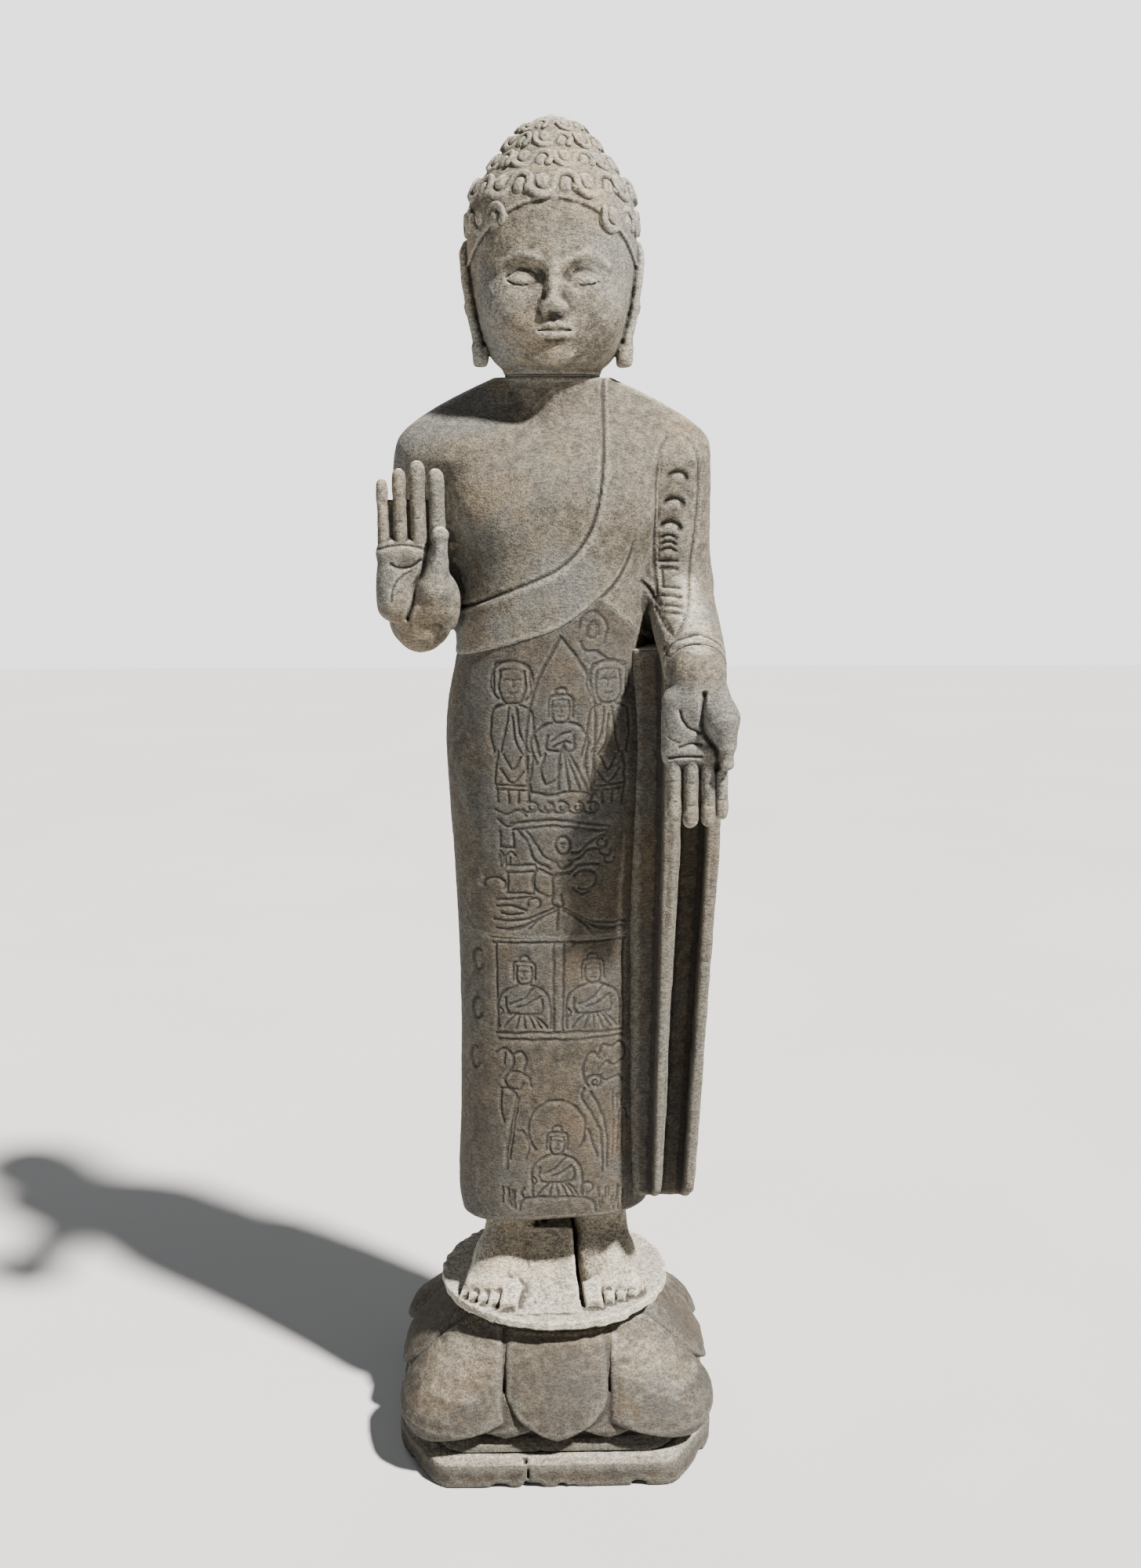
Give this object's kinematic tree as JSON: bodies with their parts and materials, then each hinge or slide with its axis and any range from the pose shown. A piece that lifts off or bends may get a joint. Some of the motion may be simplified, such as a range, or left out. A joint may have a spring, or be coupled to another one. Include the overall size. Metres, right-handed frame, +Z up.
{
  "type": "standing buddha statue",
  "caption": "Life-size standing stone Buddha with one palm raised and one hand lowered, robe and hanging sleeve carved with line drawings, on a lotus pedestal and cut-corner plinth.",
  "frame": {"origin": "middle of the plinth's underside, on the floor, under the figure's upright axis", "axes": "+Z up, -Y the way the figure faces, +X towards the figure's own left hand"},
  "size_m": [0.4652, 0.4847, 1.88],
  "materials": {
    "limestone": "weathered grey-buff carved limestone with ochre stains",
    "lime_mortar": "dry pale lime mortar",
    "stainless_steel": "plain round stainless bar",
    "lead_sheet": "dull grey sheet lead"
  },
  "bodies": {
    "pedestal": {"plinth": "limestone", "plinth_bed": "lime_mortar", "lotus_pedestal": "limestone", "plinth_dowel_right": "stainless_steel", "plinth_dowel_left": "stainless_steel", "lead_pad_1": "lead_sheet", "lead_pad_2": "lead_sheet", "lead_pad_3": "lead_sheet", "lead_pad_4": "lead_sheet"},
    "figure": {"figure_block": "limestone", "head": "limestone", "raised_forearm": "limestone", "lowered_hand": "limestone", "neck_bed": "lime_mortar", "forearm_bed": "lime_mortar", "wrist_bed": "lime_mortar", "neck_dowel": "stainless_steel", "forearm_dowel": "stainless_steel", "wrist_dowel": "stainless_steel"}
  },
  "joints": [
    {"name": "figure_lift", "type": "slide", "parent": "pedestal", "child": "figure", "axis": [0, 0, 1], "range_m": [0, 0.13]}
  ]
}
